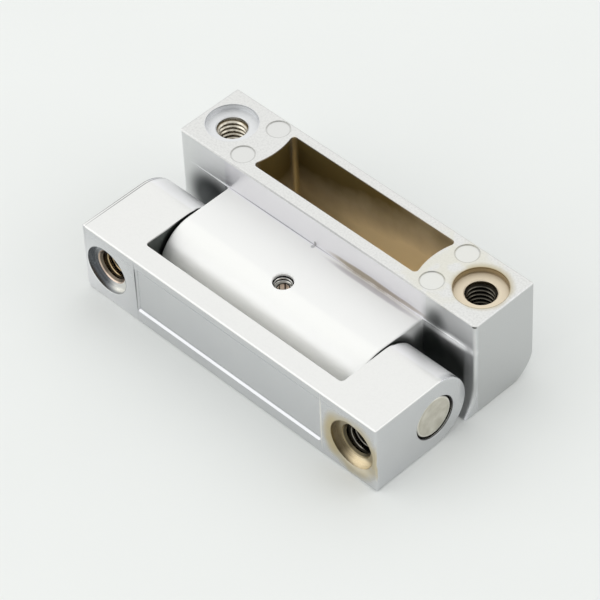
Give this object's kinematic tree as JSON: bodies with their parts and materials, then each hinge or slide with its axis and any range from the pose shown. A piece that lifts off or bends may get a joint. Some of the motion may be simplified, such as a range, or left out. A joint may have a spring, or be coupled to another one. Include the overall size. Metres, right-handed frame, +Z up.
{
  "type": "cabinet hinge",
  "caption": "Die-cast cabinet hinge whose fork leaf swings on a steel pin locked in the barrel of a pocketed rear leaf, with sunk tapped holes in the mounting faces.",
  "frame": {"origin": "under the middle of the hinge's bounding box, on the surface it lies on in the picture", "axes": "+X along the hinge pin, +Y from the fork leaf's mounting face towards the rear leaf, +Z up out of the rear leaf's mounting face"},
  "size_m": [0.075, 0.0406, 0.0224],
  "materials": {
    "plated_zinc": "satin chrome over die-cast zinc",
    "pin_steel": "ground",
    "screw_steel": "stainless, slightly stained"
  },
  "bodies": {
    "rear": {"rear_leaf": "plated_zinc", "hinge_pin": "pin_steel", "set_screw": "screw_steel"},
    "fork": {"fork_leaf": "plated_zinc"}
  },
  "joints": [
    {"name": "fork_swing", "type": "hinge", "parent": "rear", "child": "fork", "pos_m": [0, -0.00537, 0.0075], "axis": [1, 0, 0], "range_deg": [-90, 90]}
  ]
}
